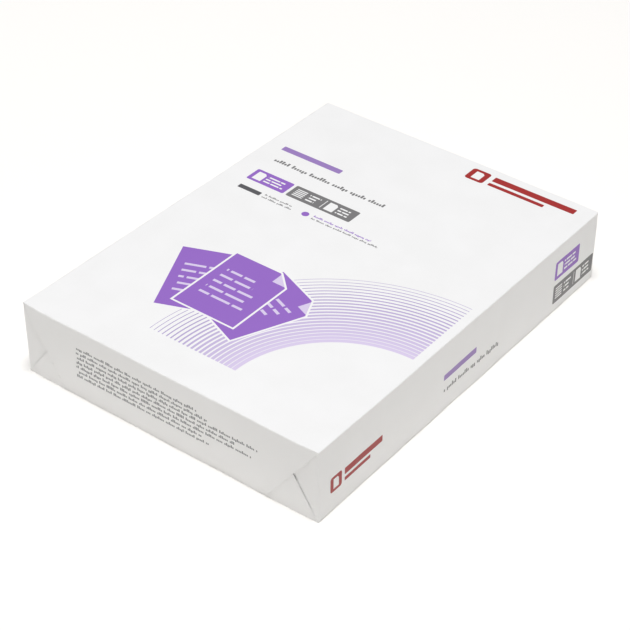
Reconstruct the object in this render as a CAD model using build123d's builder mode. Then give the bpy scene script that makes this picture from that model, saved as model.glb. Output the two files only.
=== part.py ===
from build123d import *
import os

os.makedirs("parts", exist_ok=True)

# A sealed ream of A4 paper, lying flat: width along X, length along Y, thickness along Z.
# The underside lies on Z = 0 and the middle of the pack is over the origin.

# ---- the paper inside, in millimetres ----
sheet_width = 210.0
sheet_length = 297.0
sheet_count = 500
sheet_thickness = 0.098

# ---- the wrapper ----
wrap_thickness = 0.12
long_edge_radius = 0.8
end_fold_radius = 0.8
corner_radius = 1.0

# ---- how many layers of wrapper lie on the end of the paper, and the air between them ----
tuck_layers = 1
lower_flap_layers = 3
upper_flap_layers = 5
layer_air = 0.08

# ---- the folds seen on each end ----
tuck_depth = 16.5
tuck_point_right = 26.5
tuck_point_left = 22.0
upper_flap_gap = 1.6

# ---- the lengthwise lap seam under the pack ----
seam_step_x = -24.0
seam_ramp_width = 28.0

# ---- sizes worked out from the ones above ----
pack_width = sheet_width + 2 * wrap_thickness
pack_height = sheet_count * sheet_thickness + 2 * wrap_thickness
half_width = pack_width / 2
layer_pitch = wrap_thickness + layer_air
tuck_length = sheet_length + 2 * tuck_layers * layer_pitch
lower_flap_length = sheet_length + 2 * lower_flap_layers * layer_pitch
upper_flap_length = sheet_length + 2 * upper_flap_layers * layer_pitch

# The upper flap's slanting edges run from the top corners through the tucks' points.
slant_right = tuck_depth / (pack_height - tuck_point_right)
slant_left = tuck_depth / (pack_height - tuck_point_left)
upper_flap_fall = pack_height - upper_flap_gap
upper_flap_foot_right = half_width - slant_right * upper_flap_fall
upper_flap_foot_left = -half_width + slant_left * upper_flap_fall

with BuildPart() as wrapped_ream:
    # The pack with its side panels tucked in flat against the ends.
    with BuildSketch(Plane.XY) as plan:
        RectangleRounded(pack_width, tuck_length, corner_radius)
    extrude(amount=pack_height)

    # The lower flap, folded up over the tucks on both ends.
    with BuildSketch(Plane.XZ) as lower_flap:
        Polygon(
            (-half_width, 0),
            (half_width, 0),
            (half_width - tuck_depth, tuck_point_right),
            (-half_width + tuck_depth, tuck_point_left),
            align=None,
        )
    extrude(amount=lower_flap_length / 2, both=True)

    # The upper flap, folded down over the lower flap and stopping just short of the bottom edge.
    with BuildSketch(Plane.XZ) as upper_flap:
        Polygon(
            (-half_width, pack_height),
            (half_width, pack_height),
            (upper_flap_foot_right, upper_flap_gap),
            (upper_flap_foot_left, upper_flap_gap),
            align=None,
        )
    extrude(amount=upper_flap_length / 2, both=True)

    # The end-on section: four rounded long edges and the lap seam's step under the pack.
    with BuildSketch(Plane.XZ) as end_section:
        with Locations((0, pack_height / 2)):
            RectangleRounded(pack_width, pack_height, long_edge_radius)
        Polygon(
            (seam_step_x, 0),
            (seam_step_x, wrap_thickness),
            (seam_step_x - seam_ramp_width, 0),
            align=None,
            mode=Mode.SUBTRACT,
        )
    extrude(amount=upper_flap_length / 2, both=True, mode=Mode.INTERSECT)

    # The side-on section: the wrapper bends round the top and bottom of each end.
    with BuildSketch(Plane.YZ) as side_section:
        Rectangle(lower_flap_length, upper_flap_gap, align=(Align.CENTER, Align.MIN))
        fillet(side_section.vertices().group_by(Axis.Y)[0], radius=end_fold_radius)
        with Locations((0, upper_flap_gap)):
            Rectangle(upper_flap_length, upper_flap_fall, align=(Align.CENTER, Align.MIN))
        fillet(side_section.vertices().group_by(Axis.Y)[-1], radius=end_fold_radius)
    extrude(amount=half_width, both=True, mode=Mode.INTERSECT)

wrapped_ream.part.label = "wrapped_ream"
export_step(wrapped_ream.part, "parts/wrapped_ream.step")
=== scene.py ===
import math
from collections import defaultdict

import bmesh
import bpy
from mathutils import Matrix, Vector, noise


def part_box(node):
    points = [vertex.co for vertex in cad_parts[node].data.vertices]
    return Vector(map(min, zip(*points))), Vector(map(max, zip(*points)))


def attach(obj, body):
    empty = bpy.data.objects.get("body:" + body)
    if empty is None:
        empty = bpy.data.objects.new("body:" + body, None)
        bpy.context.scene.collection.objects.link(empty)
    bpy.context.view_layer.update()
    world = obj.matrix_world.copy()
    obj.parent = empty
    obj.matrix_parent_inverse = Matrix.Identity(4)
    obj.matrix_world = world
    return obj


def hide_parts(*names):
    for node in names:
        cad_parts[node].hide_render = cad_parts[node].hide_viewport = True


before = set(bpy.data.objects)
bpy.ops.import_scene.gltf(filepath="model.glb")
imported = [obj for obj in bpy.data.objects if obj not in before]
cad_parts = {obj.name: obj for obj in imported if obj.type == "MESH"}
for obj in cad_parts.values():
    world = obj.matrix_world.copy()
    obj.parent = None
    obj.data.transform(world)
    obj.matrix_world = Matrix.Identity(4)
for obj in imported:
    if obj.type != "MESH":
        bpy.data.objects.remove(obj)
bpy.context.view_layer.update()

MM = 0.001

# ---- the pack, as the frame gives it ----
LOW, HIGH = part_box("wrapped_ream")
HALF_WIDTH = HIGH.x
HALF_LENGTH = HIGH.y
THICKNESS = HIGH.z
EDGE_ROUND = 1.0 * MM  # the largest rounding of an edge, and a little flat beside it
EDGE_FLAT = 0.3 * MM

# ---- the wrapper's mesh ----
MESH_STEP = 2.4 * MM
FLAT_WITHIN = 0.1  # degrees between faces that count as one flat face
SHARP_FROM = 38.0  # degrees between faces from which their edge is shaded sharp
SQUARE_ON = 0.999  # the least part of its normal that a face of an end points straight outward
RIM_LINES = [0.2 * MM, 0.6 * MM, 1.2 * MM, 2.1 * MM, 3.4 * MM, 5.2 * MM]
LAYER_SLACK = 0.01 * MM

# ---- how the folded layers stand off each other: a rise is outward, a press or a sink is inward ----
TUCKED_UNDER = 2.0 * MM
CORNER_CALM = 7.0 * MM
RIM_REACH = 2.6 * MM
UPPER_RISE_ON_TUCK = 0.06 * MM
UPPER_RISE_ON_FLAP = 0.04 * MM
BOTTOM_RIM_PRESS = 0.26 * MM
LOWER_RIM_RISE = 0.10 * MM
POINT_RISE = 0.16 * MM
POINT_REACH = 5.0 * MM
TUCK_SINK = 0.12 * MM
TUCK_REACH = 9.0 * MM
CORNER_KEEP = 0.25
CORNER_REACH = 16.0 * MM

# ---- how the pack has slumped and the paper ripples ----
LEAN_ACROSS = -1.8 * MM
LEAN_ALONG = -1.1 * MM
TOP_RIPPLE = 0.10 * MM
SIDE_RIPPLE = 0.34 * MM
END_RIPPLE = 0.34 * MM
SIDE_WAVES = 3.1  # each face takes its waves from a place of its own in the noise
END_WAVES = 7.7
TOP_WAVES = 11.3
WAVES_FADE = 9  # how fast a face's waves fade past its edges
RIPPLE_LENGTH = 34.0 * MM
CRUMPLE_LENGTH = 11.0 * MM
CRUMPLE_SHARE = 0.22
DENT_BELOW_TOP = 8.5 * MM
DENT_DEPTH = 0.34 * MM
DENT_ACROSS = 1.8 * MM
DENT_UP = 5.5 * MM

# ---- the map that the wrapper's colours are baked through ----
MAP_SIDE = 395 * MM
WALL_ROW = 4 * MM


# ---------------------------------------------------------------- the wrapper's shape


def smooth_step(low, high, value):
    share = min(max((value - low) / (high - low), 0.0), 1.0)
    return share * share * (3 - 2 * share)


def bell(distance, reach):
    return math.exp(-((distance / reach) ** 2))


def flat_point(co):
    """A point on an end, seen from outside: across and up."""
    return Vector((co.x, co.z))


def distance_to_line(point, start, end):
    along = end - start
    share = min(max((point - start).dot(along) / along.length_squared, 0.0), 1.0)
    return (point - start - along * share).length


class Folds:
    """Where the end folds run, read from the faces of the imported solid's end."""

    def __init__(self, bm):
        ends = [f for f in bm.faces if f.normal.y < -SQUARE_ON]
        depth = defaultdict(list)
        for face in ends:
            depth[round(-face.calc_center_median().y / LAYER_SLACK)].append(face)
        tucks, lower, upper = (depth[key] for key in sorted(depth))
        self.tuck_level = -tucks[0].verts[0].co.y
        self.lower_level = -lower[0].verts[0].co.y
        self.upper_level = -upper[0].verts[0].co.y
        tucks.sort(key=lambda face: face.calc_center_median().x)
        self.points = []
        self.lower_rims = []
        for face in tucks:
            spots = [flat_point(v.co) for v in face.verts]
            point = min(spots, key=lambda spot: abs(spot.x))
            foot = min(spots, key=lambda spot: spot.y)
            self.points.append(point)
            self.lower_rims.append((point, foot))
        spots = sorted((flat_point(v.co) for v in upper[0].verts), key=lambda spot: spot.y)
        feet = sorted(spots[:2], key=lambda spot: spot.x)
        heads = sorted(spots[2:], key=lambda spot: spot.x)
        self.upper_rims = list(zip(feet, heads))
        self.bottom_rim = tuple(feet)
        self.corners = [Vector((x, z)) for x in (-HALF_WIDTH, HALF_WIDTH) for z in (0, THICKNESS)]

    def corner_distance(self, spot):
        return min((spot - corner).length for corner in self.corners)

    def calm(self, spot):
        """The share of a fold's curl that is left near a corner, where the layers all meet."""
        return smooth_step(0.2 * CORNER_CALM, CORNER_CALM, self.corner_distance(spot))

    def upper_rise(self, spot):
        """The upper flap: a little open at its sides, more round the two points, and shut at its foot."""
        side = 0 if spot.x < 0 else 1
        foot, head = self.upper_rims[side]
        past_point = (spot - self.points[side]).dot((head - foot).normalized())
        rest = UPPER_RISE_ON_TUCK if past_point > 0 else UPPER_RISE_ON_FLAP
        along_rim = rest + (POINT_RISE - rest) * bell(past_point, POINT_REACH)
        side_distance = distance_to_line(spot, foot, head)
        bottom_distance = distance_to_line(spot, *self.bottom_rim)
        if bottom_distance < side_distance:
            return -BOTTOM_RIM_PRESS * bell(bottom_distance, RIM_REACH)
        return along_rim * bell(side_distance, RIM_REACH)

    def lower_rise(self, spot):
        nearest = min(distance_to_line(spot, *rim) for rim in self.lower_rims)
        return LOWER_RIM_RISE * bell(nearest, RIM_REACH)

    def tuck_rise(self, spot):
        nearest = min((spot - point).length for point in self.points)
        return -TUCK_SINK * bell(nearest, TUCK_REACH)

    def rise(self, co):
        """How far a point of the ends stands out from its flat layer; nothing does near a corner."""
        spot = flat_point(co)
        out = abs(co.y) + LAYER_SLACK
        calm = self.calm(spot)
        if out > self.upper_level:
            return self.upper_rise(spot) * calm
        if out > self.lower_level:
            return self.lower_rise(spot) * calm
        if out > self.tuck_level:
            return self.tuck_rise(spot) * calm
        return 0.0


def layer_faces(bm, level, end):
    return [
        face
        for face in bm.faces
        if face.normal.y * end > SQUARE_ON and abs(face.calc_center_median().y * end - level) < LAYER_SLACK
    ]


def cut_beside(bm, faces, rim, aside):
    """Cuts a layer along lines beside a rim, on the side that aside points to."""
    start, end = rim
    across = (end - start).orthogonal().normalized()
    across *= math.copysign(1, across.dot(aside))
    for gap in RIM_LINES:
        spot = start + across * gap
        edges = dict.fromkeys(edge for face in faces for edge in face.edges)
        verts = dict.fromkeys(vert for face in faces for vert in face.verts)
        cut = bmesh.ops.bisect_plane(
            bm, geom=[*verts, *edges, *faces], plane_co=(spot.x, 0, spot.y), plane_no=(across.x, 0, across.y)
        )
        faces = [part for part in cut["geom"] if isinstance(part, bmesh.types.BMFace)]
    return faces


def cut_along_folds(bm, folds):
    """Gives each flap rows of small faces along its rims, so that the rims can curl."""
    inward, up = (Vector((1, 0)), Vector((-1, 0))), Vector((0, 1))
    for end in (-1, 1):
        upper = cut_beside(bm, layer_faces(bm, folds.upper_level, end), folds.bottom_rim, up)
        lower = layer_faces(bm, folds.lower_level, end)
        tucks = layer_faces(bm, folds.tuck_level, end)
        for side in (0, 1):
            upper = cut_beside(bm, upper, folds.upper_rims[side], inward[side])
            lower = cut_beside(bm, lower, folds.lower_rims[side], inward[side])
            tucks = cut_beside(bm, tucks, folds.lower_rims[side], -inward[side])


def cut_across(bm, direction, places):
    for place in places:
        everything = bm.verts[:] + bm.edges[:] + bm.faces[:]
        bmesh.ops.bisect_plane(bm, geom=everything, plane_co=direction * place, plane_no=direction)


def cutting_places(low, high):
    """Even cuts across the pack, and one close beside each rounded edge."""
    edge = EDGE_ROUND + EDGE_FLAT
    start, stop = low + edge, high - edge
    count = round((stop - start) / MESH_STEP)
    return [start + (stop - start) * k / count for k in range(count + 1)]


def is_rim_wall(face, folds):
    """The narrow wall from a flap's rim down to the layer below it."""
    centre = face.calc_center_median()
    inside = abs(centre.x) < HALF_WIDTH - EDGE_ROUND and EDGE_ROUND < centre.z < THICKNESS - EDGE_ROUND
    out = min(abs(v.co.y) for v in face.verts)
    return inside and out > folds.tuck_level - LAYER_SLACK and abs(face.normal.y) < 0.5


def tuck_walls_under(bm, folds):
    """Runs the foot of each rim's wall back under its flap, which leaves the thin dark gap of a real fold."""
    under = defaultdict(Vector)
    walls = [face for face in bm.faces if is_rim_wall(face, folds)]
    for face in walls:
        foot = min(abs(v.co.y) for v in face.verts)
        for vert in face.verts:
            if abs(vert.co.y) < foot + LAYER_SLACK:
                under[vert] -= face.normal * face.calc_area()
    for vert, way in under.items():
        vert.co += way.normalized() * TUCKED_UNDER * folds.calm(flat_point(vert.co))
    return walls


def lift_layers(bm, folds):
    """Curls the rims, and brings the layers together where they all end at a corner."""
    for vert in bm.verts:
        out = abs(vert.co.y) + folds.rise(vert.co)
        extra = out - folds.tuck_level
        if extra > 0:
            near = folds.corner_distance(flat_point(vert.co))
            extra *= CORNER_KEEP + (1 - CORNER_KEEP) * smooth_step(0, CORNER_REACH, near)
        vert.co.y = math.copysign(folds.tuck_level + extra, vert.co.y)


def ripple(place, seed):
    """Slow waves with a finer crumple over them, from -1 to 1."""
    slow = noise.noise(place / RIPPLE_LENGTH + Vector((seed, 0, 0)))
    fine = noise.noise(place / CRUMPLE_LENGTH + Vector((0, seed, 0)))
    return slow + CRUMPLE_SHARE * fine


def ripple_paper(bm):
    """Moves each face of the pack in and out a little, and leaves the underside flat."""
    for vert in bm.verts:
        place = vert.co.copy()
        across = (place.x / HALF_WIDTH) ** WAVES_FADE
        along = (place.y / HALF_LENGTH) ** WAVES_FADE
        up = smooth_step(0.0, THICKNESS, place.z)
        vert.co.x += SIDE_RIPPLE * across * ripple(place, SIDE_WAVES)
        vert.co.y += END_RIPPLE * along * ripple(place, END_WAVES)
        vert.co.z += TOP_RIPPLE * up * ripple(place, TOP_WAVES)


def dent_edge(bm, folds):
    """A soft dent in the near upright edge, a little below the top."""
    middle = Vector((HALF_WIDTH, -folds.tuck_level, THICKNESS - DENT_BELOW_TOP))
    for vert in bm.verts:
        away = vert.co - middle
        depth = DENT_DEPTH * bell(away.xy.length, DENT_ACROSS) * bell(away.z, DENT_UP)
        vert.co += Vector((-depth, depth, 0))


def lean(bm):
    """The sheets have slid a little over each other, so the top stands off the bottom."""
    for vert in bm.verts:
        up = vert.co.z / THICKNESS - 0.5
        vert.co += Vector((LEAN_ACROSS * up, LEAN_ALONG * up, 0))


# ---------------------------------------------------------------- the wrapper's flat map

# Each panel of the wrapper: its corner in the map in millimetres, and its share of the full scale.
PANELS = {
    "top": (3, 3, 1.0),
    "right": (218, 3, 1.0),
    "left": (271, 3, 0.5),
    "under": (271, 160, 0.5),
    "front": (3, 307, 1.0),
    "back": (3, 361, 0.5),
    "front_layers": (112, 361, 0.5),
    "back_layers": (221, 361, 0.5),
    "walls": (218, 307, 0.75),
}


def panel_of(face, folds):
    facing = face.normal
    size = [abs(part) for part in facing]
    widest = size.index(max(size))
    if widest == 2:
        return "top" if facing.z > 0 else "under"
    if widest == 0:
        return "right" if facing.x > 0 else "left"
    end = "front" if facing.y < 0 else "back"
    outermost = max(abs(v.co.y) for v in face.verts) > folds.upper_level - LAYER_SLACK
    return end if outermost else end + "_layers"


def place_in_panel(name, co):
    """Where a point of a panel lies from the panel's own corner, at full scale."""
    if name in ("top", "under"):
        return co.x + HALF_WIDTH, co.y + HALF_LENGTH
    if name in ("left", "right"):
        return co.z, co.y + HALF_LENGTH
    return co.x + HALF_WIDTH, co.z


def printed_part(face, panel):
    """The number of the printed part that a face lies in, or 0 on bare paper."""
    centre = face.calc_center_median()
    for number, (own_panel, axes, (left, low, right, high), _) in enumerate(PRINTED_PARTS.values(), 1):
        across, up = face_place(centre, axes)
        if panel == own_panel and left < across < right and low < up < high:
            return number
    return 0


def lay_flat(bm, folds, walls):
    """Gives the wrapper its own map, with the printed panels at full scale and the plain ones at half."""
    layer = bm.loops.layers.uv.new("OFBake")
    rows = {}
    walls = set(walls)
    for face in bm.faces:
        panel = "walls" if face in walls else panel_of(face, folds)
        left, bottom, share = PANELS[panel]
        if face in walls:
            facing = face.normal
            key = (facing.y > 0, face.calc_center_median().y > 0, round(facing.x, 1), round(facing.z, 1))
            row = rows.setdefault(key, len(rows)) * WALL_ROW
        for loop in face.loops:
            co = loop.vert.co
            if face in walls:
                across, up = co.x + HALF_WIDTH, row + 2 * (abs(co.y) - folds.tuck_level)
            else:
                across, up = place_in_panel(panel, co)
            loop[layer].uv = Vector((left * MM + across * share, bottom * MM + up * share)) / MAP_SIDE
        face.material_index = printed_part(face, panel)
        face.smooth = face not in walls


def make_wrapper():
    bm = bmesh.new()
    bm.from_mesh(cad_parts["wrapped_ream"].data)
    bmesh.ops.remove_doubles(bm, verts=bm.verts, dist=0.1 * LAYER_SLACK)
    bmesh.ops.dissolve_limit(bm, angle_limit=math.radians(FLAT_WITHIN), verts=bm.verts, edges=bm.edges)
    folds = Folds(bm)
    cut_along_folds(bm, folds)
    cut_across(bm, Vector((1, 0, 0)), cutting_places(LOW.x, HIGH.x))
    cut_across(bm, Vector((0, 1, 0)), cutting_places(LOW.y, HIGH.y))
    cut_across(bm, Vector((0, 0, 1)), cutting_places(LOW.z, HIGH.z))
    bm.normal_update()
    walls = tuck_walls_under(bm, folds)
    lay_flat(bm, folds, walls)
    lift_layers(bm, folds)
    ripple_paper(bm)
    dent_edge(bm, folds)
    lean(bm)
    mesh = bpy.data.meshes.new("wrapper")
    bm.to_mesh(mesh)
    bm.free()
    mesh.set_sharp_from_angle(angle=math.radians(SHARP_FROM))
    wrapper = bpy.data.objects.new("wrapper", mesh)
    bpy.context.scene.collection.objects.link(wrapper)
    return wrapper


# ---------------------------------------------------------------- building materials from nodes


class Maker:
    """Adds nodes to one tree. A value given to a node may be a number or another node's output."""

    def __init__(self, tree):
        self.tree = tree

    def node(self, kind, *values, **settings):
        node = self.tree.nodes.new("ShaderNode" + kind)
        for name, setting in settings.items():
            setattr(node, name, setting)
        for socket, value in zip(node.inputs, values):
            self.fill(socket, value)
        return node

    def fill(self, socket, value):
        if isinstance(value, bpy.types.NodeSocket):
            self.tree.links.new(value, socket)
        else:
            socket.default_value = value

    def math(self, operation, *values):
        return self.node("Math", *values, operation=operation).outputs[0]

    def smallest(self, first, *others):
        for other in others:
            first = self.math("MINIMUM", first, other)
        return first

    def largest(self, first, *others):
        for other in others:
            first = self.math("MAXIMUM", first, other)
        return first

    def vector(self, operation, *values):
        return self.node("VectorMath", *values, operation=operation).outputs[0]

    def split(self, vector):
        return self.node("SeparateXYZ", vector).outputs

    def join(self, x, y, z=0.0):
        return self.node("CombineXYZ", x, y, z).outputs[0]

    def rescale(self, value, low, high, to_low=0.0, to_high=1.0, smooth=False):
        kind = "SMOOTHSTEP" if smooth else "LINEAR"
        node = self.node("MapRange", value, low, high, to_low, to_high, interpolation_type=kind)
        return node.outputs[0]

    def blend(self, share, under, over):
        node = self.node("Mix", data_type="RGBA")
        self.fill(node.inputs["Factor"], share)
        self.fill(node.inputs["A"], under)
        self.fill(node.inputs["B"], over)
        return node.outputs["Result"]

    def noise(self, place, scale, detail=2.0, roughness=0.5):
        node = self.node("TexNoise")
        self.fill(node.inputs["Vector"], place)
        node.inputs["Scale"].default_value = scale
        node.inputs["Detail"].default_value = detail
        node.inputs["Roughness"].default_value = roughness
        return node.outputs["Fac"]

    def group(self, group, **values):
        """Places a node group; a socket such as "Half Size" is given as half_size."""
        node = self.node("Group", node_tree=group)
        for name, value in values.items():
            self.fill(node.inputs[name.replace("_", " ").title()], value)
        return node.outputs


def new_group(name, inputs, outputs):
    """An empty node group: the kind of each named input and output, in order."""
    group = bpy.data.node_groups.new(name, "ShaderNodeTree")
    for label, kind in inputs.items():
        group.interface.new_socket(label, in_out="INPUT", socket_type="NodeSocket" + kind)
    for label, kind in outputs.items():
        group.interface.new_socket(label, in_out="OUTPUT", socket_type="NodeSocket" + kind)
    given = group.nodes.new("NodeGroupInput").outputs
    result = group.nodes.new("NodeGroupOutput").inputs
    return group, Maker(group), given, result


# Every printed shape is a distance in millimetres from its outline, below zero inside it.


def make_bar_group():
    """A bar or panel with rounded corners."""
    sockets = {"Place": "Vector", "Middle": "Vector", "Half Size": "Vector", "Corner": "Float"}
    group, make, given, result = new_group("printed_bar", sockets, {"Distance": "Float"})
    away = make.vector("SUBTRACT", given["Place"], given["Middle"])
    past = make.vector("SUBTRACT", make.vector("ABSOLUTE", away), given["Half Size"])
    x, y, _ = make.split(past)
    x = make.math("ADD", x, given["Corner"])
    y = make.math("ADD", y, given["Corner"])
    outside_x = make.math("MAXIMUM", x, 0.0)
    outside_y = make.math("MAXIMUM", y, 0.0)
    squares = make.math("ADD", make.math("POWER", outside_x, 2.0), make.math("POWER", outside_y, 2.0))
    inside = make.smallest(make.largest(x, y), 0.0)
    rounded = make.math("SUBTRACT", make.math("SQRT", squares), given["Corner"])
    make.fill(result["Distance"], make.math("ADD", rounded, inside))
    return group


ROW_SIZES = ["Left", "Right", "Top", "Rows", "Pitch", "Half Height", "Word", "Gap", "Ragged", "Seed"]
ROW_SOCKETS = {"Place": "Vector"} | dict.fromkeys(ROW_SIZES, "Float")


def nearest_row(make, given, y):
    """The row nearest to a height, and the height over that row's middle."""
    down = make.math("DIVIDE", make.math("SUBTRACT", given["Top"], y), given["Pitch"])
    row = make.math("ROUND", down)
    return row, make.math("MULTIPLY", make.math("SUBTRACT", row, down), given["Pitch"])


def luck(make, number):
    """A random share that belongs to a number."""
    node = make.node("TexWhiteNoise", noise_dimensions="1D")
    make.fill(node.inputs["W"], make.math("ROUND", make.math("MULTIPLY", number, 100.0)))
    return node.outputs["Value"]


def make_rows_group():
    """Rows of dashes as long as words, ragged at their right ends."""
    group, make, given, result = new_group("printed_rows", ROW_SOCKETS, {"Distance": "Float"})
    x, y, _ = make.split(given["Place"])
    row, up = nearest_row(make, given, y)
    beside = make.math("SUBTRACT", make.math("ABSOLUTE", up), given["Half Height"])
    above = make.math("SUBTRACT", -0.5, row)
    below = make.math("SUBTRACT", row, make.math("SUBTRACT", given["Rows"], 0.5))
    number = make.math("ADD", make.math("MULTIPLY", row, ROWS_APART), given["Seed"])
    short = make.math("MULTIPLY", luck(make, number), given["Ragged"])
    past_right = make.math("SUBTRACT", x, make.math("SUBTRACT", given["Right"], short))
    past_left = make.math("SUBTRACT", given["Left"], x)
    words = make.node("TexVoronoi", voronoi_dimensions="1D", feature="DISTANCE_TO_EDGE")
    make.fill(words.inputs["W"], make.math("ADD", make.math("DIVIDE", x, given["Word"]), number))
    words.inputs["Scale"].default_value = 1.0
    words.inputs["Randomness"].default_value = WORD_VARIETY
    from_gap = make.math("MULTIPLY", words.outputs["Distance"], given["Word"])
    between = make.math("SUBTRACT", make.math("MULTIPLY", given["Gap"], 0.5), from_gap)
    make.fill(result["Distance"], make.largest(beside, above, below, past_right, past_left, between))
    return group


def make_small_print_group(bars, rows):
    """Rows of words made of rounded blocks as narrow as letters, some tall and some deep."""
    sockets = ROW_SOCKETS | {"Letter": "Float"}
    group, make, given, result = new_group("small_print", sockets, {"Distance": "Float"})
    x, y, _ = make.split(given["Place"])
    row, up = nearest_row(make, given, y)
    shift = make.math("MULTIPLY", row, LETTER_SHIFT)
    cell = make.math("ADD", make.math("DIVIDE", x, given["Letter"]), shift)
    letter = make.math("ROUND", cell)
    letter_x = make.math("MULTIPLY", make.math("SUBTRACT", letter, shift), given["Letter"])
    in_words = {label.replace(" ", "_").lower(): given[label] for label in ROW_SOCKETS}
    in_words["place"] = make.join(letter_x, y)
    words = make.group(rows, **in_words)

    own_luck = luck(make, make.math("ADD", letter, make.math("MULTIPLY", row, LETTERS_APART)))
    tall = make.math("GREATER_THAN", own_luck, 1 - TALL_SHARE)
    deep = make.math("LESS_THAN", own_luck, DEEP_SHARE)
    head = make.math("ADD", LOW_HEAD, make.math("MULTIPLY", tall, 1 - LOW_HEAD))
    foot = make.math("SUBTRACT", -HIGH_FOOT, make.math("MULTIPLY", deep, 1 - HIGH_FOOT))
    head = make.math("MULTIPLY", head, given["Half Height"])
    foot = make.math("MULTIPLY", foot, given["Half Height"])
    middle = make.math("MULTIPLY", make.math("ADD", head, foot), 0.5)
    half_height = make.math("MULTIPLY", make.math("SUBTRACT", head, foot), 0.5)
    half_width = make.math("MULTIPLY", given["Letter"], BLOCK_SHARE / 2)
    block = {"middle": make.join(0.0, middle), "half_size": make.join(half_width, half_height)}
    block |= {"place": make.join(make.math("SUBTRACT", x, letter_x), up)}
    block |= {"corner": make.math("MULTIPLY", given["Letter"], BLOCK_CORNER)}
    blocks = make.group(bars, **block)
    whole = make.math("MULTIPLY", words["Distance"], WHOLE_BLOCKS)
    make.fill(result["Distance"], make.largest(whole, blocks["Distance"]))
    return group


def make_sheet_group():
    """A sheet with its upper right corner folded over: the sheet, the fold, and where a point lies on it."""
    sockets = {"Place": "Vector", "Middle": "Vector", "Turn": "Float", "Size": "Float"}
    outputs = {"Sheet": "Float", "Fold": "Float", "Place": "Vector"}
    group, make, given, result = new_group("folded_sheet", sockets, outputs)
    away = make.vector("SUBTRACT", given["Place"], given["Middle"])
    turned = make.node("VectorRotate", rotation_type="Z_AXIS")
    make.fill(turned.inputs["Vector"], away)
    make.fill(turned.inputs["Angle"], make.math("MULTIPLY", given["Turn"], -1.0))
    unit = make.node("VectorMath", turned.outputs[0], operation="SCALE")
    make.fill(unit.inputs["Scale"], make.math("DIVIDE", 1.0, given["Size"]))
    x, y, _ = make.split(unit.outputs[0])
    wide, high, ear = SHEET_SHAPE
    beside = make.math("SUBTRACT", make.math("ABSOLUTE", x), wide)
    above = make.math("SUBTRACT", make.math("ABSOLUTE", y), high)
    box = make.largest(beside, above)
    past_cut = make.math("SUBTRACT", make.math("ADD", x, y), wide + high - ear)
    cut = make.math("MULTIPLY", past_cut, math.sqrt(0.5))
    inner = ear - SHEET_LINE
    fold = make.largest(make.math("SUBTRACT", wide - inner, x), make.math("SUBTRACT", high - inner, y), cut)
    make.fill(result["Sheet"], make.math("MULTIPLY", make.largest(box, cut), given["Size"]))
    make.fill(result["Fold"], make.math("MULTIPLY", fold, given["Size"]))
    make.fill(result["Place"], unit.outputs[0])
    return group


def make_arcs_group():
    """Rings of lines about one centre, thick at the inner ring and thin at the outer one."""
    sockets = {"Place": "Vector", "Centre": "Vector", "Inner": "Float", "Outer": "Float", "Pitch": "Float"}
    sockets |= {"Thick": "Float", "Thin": "Float"}
    outputs = {"Distance": "Float", "Outward": "Float"}
    group, make, given, result = new_group("printed_arcs", sockets, outputs)
    away = make.vector("SUBTRACT", given["Place"], given["Centre"])
    radius = make.node("VectorMath", away, operation="LENGTH").outputs["Value"]
    ring = make.math("DIVIDE", make.math("SUBTRACT", radius, given["Inner"]), given["Pitch"])
    off_ring = make.math("MULTIPLY", make.math("SUBTRACT", ring, make.math("ROUND", ring)), given["Pitch"])
    outward = make.rescale(radius, given["Inner"], given["Outer"])
    half_line = make.rescale(outward, 0.0, 1.0, given["Thick"], given["Thin"])
    line = make.math("SUBTRACT", make.math("ABSOLUTE", off_ring), half_line)
    slack = make.math("MULTIPLY", given["Pitch"], 0.5)
    past_inner = make.math("SUBTRACT", make.math("SUBTRACT", given["Inner"], slack), radius)
    past_outer = make.math("SUBTRACT", radius, make.math("ADD", given["Outer"], slack))
    make.fill(result["Distance"], make.largest(line, past_inner, past_outer))
    make.fill(result["Outward"], outward)
    return group


def make_ink_group():
    """Lays an ink over what is under it, inside a printed shape and with a barely soft edge."""
    sockets = {"Under": "Color", "Ink": "Color", "Distance": "Float"}
    group, make, given, result = new_group("inked", sockets, {"Color": "Color"})
    cover = make.rescale(given["Distance"], INK_EDGE, -INK_EDGE, smooth=True)
    make.fill(result["Color"], make.blend(cover, given["Under"], given["Ink"]))
    return group


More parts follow.
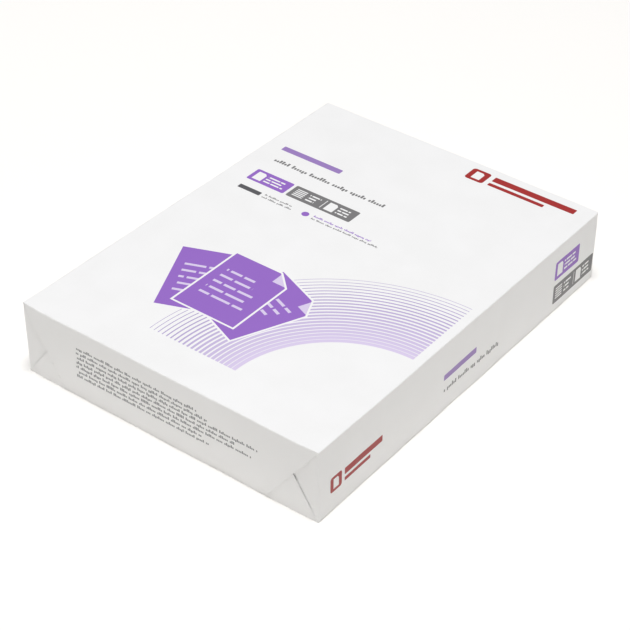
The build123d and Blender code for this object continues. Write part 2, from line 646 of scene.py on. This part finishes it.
def make_stock_group():
    """The wrapper's paper: its cloudy colour, its sheen, its fibres, and its rubbed and crumpled edges."""
    outputs = {"Color": "Color", "Roughness": "Float", "Height": "Float"}
    group, make, given, result = new_group("wrapper_stock", {"Place": "Vector", "Rub": "Float"}, outputs)
    place = given["Place"]
    x, y, z = make.split(place)
    half_thickness = 0.5 * THICKNESS / MM
    off_middle = make.math("ABSOLUTE", make.math("SUBTRACT", z, half_thickness))
    from_side = make.math("SUBTRACT", HALF_WIDTH / MM, make.math("ABSOLUTE", x))
    from_end = make.math("SUBTRACT", HALF_LENGTH / MM, make.math("ABSOLUTE", y))
    from_face = make.math("SUBTRACT", half_thickness, off_middle)
    nearer = make.smallest(from_side, from_end)
    further = make.largest(from_side, from_end)
    edge = make.largest(nearer, make.smallest(further, from_face))
    corner = make.largest(from_side, from_end, from_face)

    cloud = make.noise(place, 1 / CLOUD_SIZE)
    patches = make.noise(place, 1 / PATCH_SIZE, detail=1.0)
    fibre_place = make.vector("MULTIPLY", place, FIBRE_STRETCH)
    fibres = make.noise(fibre_place, 1 / FIBRE_SIZE, roughness=0.65)

    patchy = make.rescale(patches, 0.38, 0.62)
    rubbed = make.rescale(edge, *RUBBED_EDGE, smooth=True)
    rub = make.math("MULTIPLY", make.math("MULTIPLY", rubbed, patchy), given["Rub"])
    cloudy = make.blend(make.rescale(cloud, 0.35, 0.65), PAPER_SHADE, PAPER)
    speckled = make.blend(make.rescale(fibres, 0.30, 0.75, 0.0, 0.5), cloudy, PAPER_LIGHT)
    make.fill(result["Color"], make.blend(rub, speckled, PAPER_RUBBED))

    sheen = make.rescale(cloud, 0.3, 0.7, *SHEEN)
    fibre_sheen = make.math("MULTIPLY", make.math("SUBTRACT", fibres, 0.5), FIBRE_SHEEN)
    matt = make.math("ADD", sheen, fibre_sheen)
    make.fill(result["Roughness"], make.math("ADD", matt, make.math("MULTIPLY", rub, RUB_MATT)))

    cockle = make.math("MULTIPLY", make.noise(place, 1 / COCKLE_SIZE, detail=1.0), COCKLE_HEIGHT)
    crease = make.math("ABSOLUTE", make.math("SUBTRACT", make.noise(place, 1 / CREASE_SIZE), 0.5))
    crease_height = make.rescale(corner, *CREASED_CORNER, 0.0, CREASE_HEIGHT, smooth=True)
    creased = make.math("MULTIPLY", crease, crease_height)
    grain = make.math("MULTIPLY", fibres, GRAIN_HEIGHT)
    make.fill(result["Height"], make.math("ADD", make.math("ADD", cockle, creased), grain))
    return group


# ---- the paper's finish, in millimetres ----
CLOUD_SIZE = 26
PATCH_SIZE = 6
FIBRE_SIZE = 0.45
FIBRE_STRETCH = (1.0, 0.35, 0.6)
RUBBED_EDGE = (0.9, 0.1)  # how far from an edge the rub begins, and where it is full
RUB_AMOUNT = 0.5
SHEEN = (0.44, 0.52)  # the lowest and the highest roughness of the cloudy coating
FIBRE_SHEEN = 0.10
RUB_MATT = 0.2
COCKLE_SIZE = 15
COCKLE_HEIGHT = 0.16
CREASE_SIZE = 7
CREASE_HEIGHT = 0.30
CREASED_CORNER = (26.0, 3.0)  # how far from a corner the creases begin, and where they are full
GRAIN_HEIGHT = 0.012
PAPER_IOR = 1.46

# ---------------------------------------------------------------- the print, in millimetres on each face

INK_EDGE = 0.12
SHEET_SHAPE = (22.0, 30.0, 11.0)  # half its width, half its height, and the folded corner
SHEET_LINE = 1.0
KEYLINE = 1.3
ICON_SIZE = 0.15  # of the full sheet
FAN_TURN = math.radians(23)
FAN_FOOT = Vector((-20, -112))  # where the fan of sheets turns, below its middle sheet
FAN_REACH = 50
ROWS_APART = 7.31  # sets each row's words and length apart from the row before
WORD_VARIETY = 0.8
LETTER_SHIFT = 0.37  # of a letter's width, from row to row, so that the blocks make no columns
LETTERS_APART = 23.0
PLAIN_ROW = {"rows": 1, "pitch": 9, "word": 9, "gap": 1.2, "ragged": 0, "seed": 1}
BLOCK_SHARE = 0.74  # how much of a letter's width its block takes
BLOCK_CORNER = 0.22
WHOLE_BLOCKS = 20.0  # sharpens the ends of words, so that each block is there or not
TALL_SHARE = 0.28
DEEP_SHARE = 0.12
LOW_HEAD = 0.35  # head and foot of the lower letters, as shares of half the row's height
HIGH_FOOT = 0.60

PAPER = (0.910, 0.910, 0.908, 1)
PAPER_SHADE = (0.893, 0.893, 0.889, 1)
PAPER_LIGHT = (0.922, 0.922, 0.921, 1)
PAPER_RUBBED = (0.80, 0.795, 0.785, 1)

PURPLE = (0.305, 0.144, 0.560, 1)
LILAC = (0.70, 0.61, 0.83, 1)
LINE_LILAC = (0.36, 0.28, 0.55, 1)
TITLE_PURPLE = (0.33, 0.21, 0.52, 1)
GREY = (0.198, 0.195, 0.198, 1)
DARK = (0.10, 0.10, 0.11, 1)
SMALL_PRINT = (0.21, 0.21, 0.22, 1)
RED = (0.380, 0.027, 0.026, 1)


class Print:
    """What is printed on one face of the pack, laid down ink by ink over the paper."""

    def __init__(self, make, place, paper):
        self.make = make
        self.place = place
        self.color = paper

    def lay(self, ink, distance):
        inked = self.make.group(GROUPS["ink"], under=self.color, ink=ink, distance=distance)
        self.color = inked["Color"]

    def bar(self, ink, left, right, low, high, corner=0.0):
        middle = ((left + right) / 2, (low + high) / 2, 0)
        half_size = ((right - left) / 2, (high - low) / 2, 0)
        given = {"middle": middle, "half_size": half_size, "corner": corner}
        self.lay(ink, self.make.group(GROUPS["bar"], place=self.place, **given)["Distance"])

    def rows(self, ink, left, right, top, height, group="rows", **kind):
        """Rows whose kind may give their number, pitch, length of word, gap, raggedness and seed."""
        given = PLAIN_ROW | {"left": left, "right": right, "top": top, "half_height": height / 2} | kind
        self.lay(ink, self.make.group(GROUPS[group], place=self.place, **given)["Distance"])

    def small_print(self, ink, *where, letter=1.0, **kind):
        self.rows(ink, *where, group="small_print", letter=letter, **kind)

    def folded_sheet(self, middle, turn, size):
        return self.make.group(GROUPS["sheet"], place=self.place, middle=(*middle, 0), turn=turn, size=size)

    def icon(self, ink, middle, size):
        """A small plain sheet with a folded corner."""
        self.lay(ink, self.folded_sheet(middle, 0.0, size)["Sheet"])

    def page(self, middle, turn, seed):
        """A large purple sheet with its folded corner and its rows, and a line of bare paper round it."""
        shape = self.folded_sheet(middle, turn, 1.0)
        self.lay(PAPER, self.make.math("SUBTRACT", shape["Sheet"], KEYLINE))
        self.lay(PURPLE, shape["Sheet"])
        self.lay(LILAC, shape["Fold"])
        page = Print(self.make, shape["Place"], self.color)
        page.rows(LILAC, -16, 16, 13, 2.0, rows=5, pitch=6.6, word=13, gap=1.8, ragged=12, seed=seed)
        self.color = page.color


# ---- what each printed part of the wrapper holds; distances are in millimetres from the middle of the
# ---- top, and on the upright faces from their middle across and from the ground up


def print_panels(sheet, purple_at, grey_at):
    """The purple and the grey panel, each with a little sheet or pile and rows in white."""
    high, middle, first_row = 13.5, 6.75, 9.6
    small_rows = {"rows": 3, "pitch": 2.9, "gap": 0.8, "ragged": 4}
    left, low = purple_at
    sheet.bar(PURPLE, left, left + 29, low, low + high, corner=1.2)
    sheet.icon(PAPER, (left + 6, low + middle), ICON_SIZE)
    sheet.rows(PAPER, left + 11, left + 26.5, low + first_row, 1.3, word=7, seed=2, **small_rows)
    left, low = grey_at
    sheet.bar(GREY, left, left + 49, low, low + high, corner=1.2)
    sheet.rows(PAPER, left + 2.8, left + 10.6, low + 10.3, 0.9, rows=5, pitch=1.75, word=90, seed=4)
    sheet.rows(PAPER, left + 13, left + 22.5, low + first_row, 1.3, word=6, seed=5, **small_rows)
    sheet.bar(PAPER, left + 24.9, left + 25.4, low + 2, low + 11.5)
    sheet.icon(PAPER, (left + 31, low + middle), ICON_SIZE)
    sheet.rows(PAPER, left + 36, left + 46.5, low + first_row, 1.3, word=6, seed=6, **small_rows)


def print_red_mark(sheet, left, low, size, bars):
    """A red tile that holds a white sheet, and two red bars after it."""
    sheet.bar(RED, left, left + size, low, low + size, corner=0.16 * size)
    sheet.icon(PAPER, (left + size / 2, low + size / 2), 0.0105 * size)
    start = left + 1.25 * size
    sheet.bar(RED, start, start + bars, low + 0.50 * size, low + 0.92 * size, corner=0.05 * size)
    sheet.bar(RED, start, start + 0.68 * bars, low + 0.08 * size, low + 0.32 * size, corner=0.05 * size)


def print_top_mark(sheet):
    print_red_mark(sheet, 16, 129, 13.5, 60)


def print_top_title(sheet):
    sheet.bar(TITLE_PURPLE, -93.5, -47, 79.5, 84.5, corner=0.8)
    sheet.small_print(GREY, -90.9, -3, 66.7, 4.6, letter=2.0, word=14, gap=2.0, seed=3)


def print_top_panels(sheet):
    print_panels(sheet, (-90, 38), (-59, 38))


def print_top_notes(sheet):
    sheet.bar(DARK, -88, -71, 26.4, 30.4, corner=0.5)
    sheet.small_print(GREY, -68.5, -42, 29.9, 2.1, rows=2, pitch=3.1, word=7, gap=1.0, ragged=6, seed=8)
    sheet.bar(PURPLE, -38.5, -33.5, 26.0, 31.0, corner=2.5)
    sheet.small_print(PURPLE, -30.5, 12, 29.9, 2.3, word=8, gap=1.1, seed=9)
    sheet.small_print(GREY, -30.5, 19, 26.8, 2.0, word=7, gap=1.0, seed=10)


def print_top_art(sheet):
    """A quarter of a ring of fine lines, and in front of it three sheets spread like a fan."""
    make = sheet.make
    rings = {"centre": (98, -122, 0), "inner": 72, "outer": 132, "pitch": 3.0, "thick": 1.36, "thin": 0.17}
    arcs = make.group(GROUPS["arcs"], place=sheet.place, **rings)
    x, y, _ = make.split(sheet.place)
    past_frame = make.largest(make.math("SUBTRACT", x, 98.0), make.math("SUBTRACT", -122.0, y))
    ink = make.blend(arcs["Outward"], LILAC, LINE_LILAC)
    sheet.lay(ink, make.largest(arcs["Distance"], past_frame))
    for side in (1, -1, 0):
        turn = FAN_TURN * side
        middle = FAN_FOOT + FAN_REACH * Vector((-math.sin(turn), math.cos(turn)))
        sheet.page(middle, turn, 12 + side)


def print_side_mark(sheet):
    print_red_mark(sheet, -138, 13.5, 10.5, 36)


def print_side_title(sheet):
    sheet.bar(TITLE_PURPLE, -27, 8, 22.5, 26.6, corner=0.7)
    sheet.small_print(GREY, -27, 33, 15.0, 3.8, letter=1.7, word=11, gap=1.7, seed=3)


def print_side_panels(sheet):
    print_panels(sheet, (98, 24), (98, 6.5))


def print_end_text(sheet):
    rows = {"rows": 7, "pitch": 3.27, "word": 7.5, "gap": 1.1, "ragged": 46, "seed": 21}
    sheet.small_print(SMALL_PRINT, -65.5, 68, 35.7, 2.5, letter=1.1, **rows)


# Each printed part: its panel, the x, y or z that run across and up that panel, its left, low, right and
# high ends in millimetres, and the function that prints it.
PRINTED_PARTS = {
    "top_mark": ("top", "XY", (10, 122, 102, 147), print_top_mark),
    "top_title": ("top", "XY", (-100, 60, 18, 92), print_top_title),
    "top_panels": ("top", "XY", (-95, 34, -5, 57), print_top_panels),
    "top_notes": ("top", "XY", (-95, 21, 26, 34), print_top_notes),
    "top_art": ("top", "XY", (-102, -128, 102, 18), print_top_art),
    "side_mark": ("right", "YZ", (-142, 9, -84, 29), print_side_mark),
    "side_title": ("right", "YZ", (-32, 10, 40, 31), print_side_title),
    "side_panels": ("right", "YZ", (94, 2, 149, 42), print_side_panels),
    "end_text": ("front", "XZ", (-70, 11, 72, 40), print_end_text),
}


def face_place(co, axes):
    """Where a point lies on a face, in millimetres across and up it."""
    return tuple(co["XYZ".index(axis)] / MM for axis in axes)


def make_paper(name, axes="XY", print_part=None):
    """The wrapper's paper, with the print of one part of it."""
    material = bpy.data.materials.new(name)
    material.use_nodes = True
    make = Maker(material.node_tree)
    shader = material.node_tree.nodes["Principled BSDF"]
    own = make.node("TexCoord").outputs["Object"]
    place = make.vector("MULTIPLY", own, (1 / MM, 1 / MM, 1 / MM))
    stock = make.group(GROUPS["stock"], place=place, rub=RUB_AMOUNT)
    color = stock["Color"]
    if print_part:
        parts = make.split(place)
        across, up = (parts["XYZ".index(axis)] for axis in axes)
        sheet = Print(make, make.join(across, up), color)
        print_part(sheet)
        color = sheet.color
    make.fill(shader.inputs["Base Color"], color)
    make.fill(shader.inputs["Roughness"], stock["Roughness"])
    bump = make.node("Bump")
    bump.inputs["Distance"].default_value = MM
    make.fill(bump.inputs["Height"], stock["Height"])
    make.fill(shader.inputs["Normal"], bump.outputs[0])
    shader.inputs["IOR"].default_value = PAPER_IOR
    return material


GROUPS = {
    "bar": make_bar_group(),
    "rows": make_rows_group(),
    "sheet": make_sheet_group(),
    "arcs": make_arcs_group(),
    "ink": make_ink_group(),
    "stock": make_stock_group(),
}
GROUPS["small_print"] = make_small_print_group(GROUPS["bar"], GROUPS["rows"])

# ---------------------------------------------------------------- floor, light and camera

FLOOR_RADIUS = 14
FLOOR_SHADE = (0.960, 0.945, 0.918, 1)
FLOOR_LIGHT = (0.970, 0.955, 0.928, 1)
FLOOR_CLOUDS = 3.0  # to the metre
FLOOR_ROUGHNESS = 0.8
FLOOR_GLOW = 0.06  # keeps the far floor as white as the near floor

CAMERA_AIM = Vector((11.9, -24.9, 24.55)) * MM
CAMERA_TURN = math.radians(34.47)
CAMERA_HEIGHT = math.radians(36.41)
CAMERA_ROLL = math.radians(3.03)
CAMERA_AWAY = 1119.8 * MM
CAMERA_LENS = 107.4

LAMP_PLACE = Vector((0.20, -0.42, 4.2))
LAMP_SIZE = 1.8
LAMP_POWER = 166
LAMP_COLOUR = (0.99, 0.99, 1.0)

HORIZON_LIGHT = (0.55, 0.52, 0.465, 1)
ZENITH_LIGHT = (0.12, 0.12, 0.12, 1)
ZENITH_FROM = 0.45  # the sine of the height above which the studio is at its darkest


def make_floor_paint():
    """A matt floor of a warm white, a shade uneven, that glows a little."""
    material = bpy.data.materials.new("floor_paint")
    material.use_nodes = True
    make = Maker(material.node_tree)
    shader = material.node_tree.nodes["Principled BSDF"]
    cloud = make.noise(make.node("TexCoord").outputs["Object"], FLOOR_CLOUDS)
    color = make.blend(cloud, FLOOR_SHADE, FLOOR_LIGHT)
    make.fill(shader.inputs["Base Color"], color)
    shader.inputs["Roughness"].default_value = FLOOR_ROUGHNESS
    shader.inputs["Emission Color"].default_value = (1, 1, 1, 1)
    shader.inputs["Emission Strength"].default_value = FLOOR_GLOW
    return material


def make_floor():
    bpy.ops.mesh.primitive_circle_add(vertices=96, radius=FLOOR_RADIUS, fill_type="NGON")
    floor = bpy.context.object
    floor.name = "floor"
    floor.data.materials.append(make_floor_paint())


def make_studio():
    """Pale walls all round, and darker overhead, where the lamp is."""
    world = bpy.data.worlds.new("studio")
    world.use_nodes = True
    make = Maker(world.node_tree)
    height = make.split(make.node("TexCoord").outputs["Generated"])[2]
    share = make.rescale(height, 0.0, ZENITH_FROM, smooth=True)
    sky = world.node_tree.nodes["Background"]
    make.fill(sky.inputs["Color"], make.blend(share, HORIZON_LIGHT, ZENITH_LIGHT))
    bpy.context.scene.world = world


def make_lamp():
    """One wide soft box, high over the pack and a little in front of it."""
    light = bpy.data.lights.new("soft_box", "AREA")
    light.shape = "DISK"
    light.size = LAMP_SIZE
    light.energy = LAMP_POWER
    light.color = LAMP_COLOUR
    lamp = bpy.data.objects.new("soft_box", light)
    lamp.location = LAMP_PLACE
    lamp.rotation_euler = (-LAMP_PLACE).to_track_quat("-Z", "Y").to_euler()
    bpy.context.scene.collection.objects.link(lamp)


def make_camera():
    """Stands where the pack's front corner, end and long side all show."""
    outward = Vector((math.sin(CAMERA_TURN), -math.cos(CAMERA_TURN), 0)) * math.cos(CAMERA_HEIGHT)
    outward.z = math.sin(CAMERA_HEIGHT)
    camera = bpy.data.objects.new("camera", bpy.data.cameras.new("camera"))
    camera.data.lens = CAMERA_LENS
    camera.data.sensor_width = 36
    turn = (-outward).to_track_quat("-Z", "Y").to_matrix() @ Matrix.Rotation(CAMERA_ROLL, 3, "Z")
    camera.matrix_world = Matrix.Translation(CAMERA_AIM + outward * CAMERA_AWAY) @ turn.to_4x4()
    bpy.context.scene.collection.objects.link(camera)
    bpy.context.scene.camera = camera


# ---------------------------------------------------------------- putting it together

make_camera()
make_floor()
make_studio()
make_lamp()
bpy.context.scene.view_settings.view_transform = "Standard"

wrapper = make_wrapper()
wrapper.data.materials.append(make_paper("paper_bare"))
for name, (_, axes, _, print_part) in PRINTED_PARTS.items():
    wrapper.data.materials.append(make_paper("paper_" + name, axes, print_part))
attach(wrapper, "root")
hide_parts("wrapped_ream")
